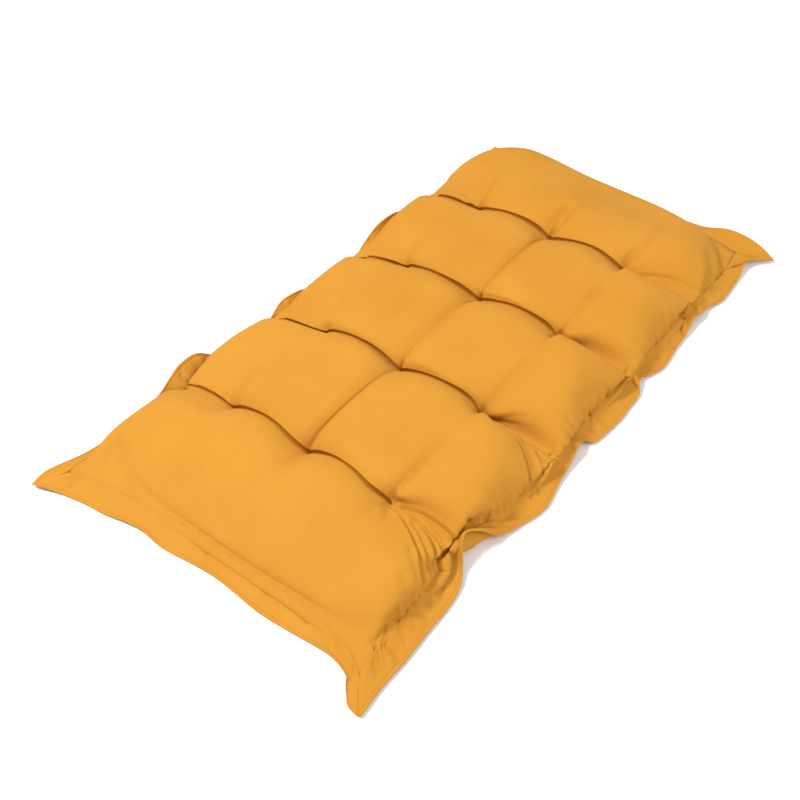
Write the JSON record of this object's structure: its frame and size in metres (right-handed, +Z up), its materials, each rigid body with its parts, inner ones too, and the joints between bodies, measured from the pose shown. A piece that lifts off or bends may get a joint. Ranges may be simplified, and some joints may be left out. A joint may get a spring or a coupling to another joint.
{
  "type": "bench cushion",
  "caption": "Long tufted bench cushion: one stuffed cotton cover with drawn-in sides and a flat double flange all round.",
  "frame": {"origin": "under the middle of the cushion's outline, on the surface that it lies on", "axes": "+X along the bench, +Y across it towards the back, +Z up out of the tufted face"},
  "size_m": [1.1612, 0.628, 0.0913],
  "materials": {
    "cloth": "matt plain-woven cotton canvas, mustard yellow"
  },
  "bodies": {
    "root": {"cushion": "cloth"}
  },
  "joints": []
}
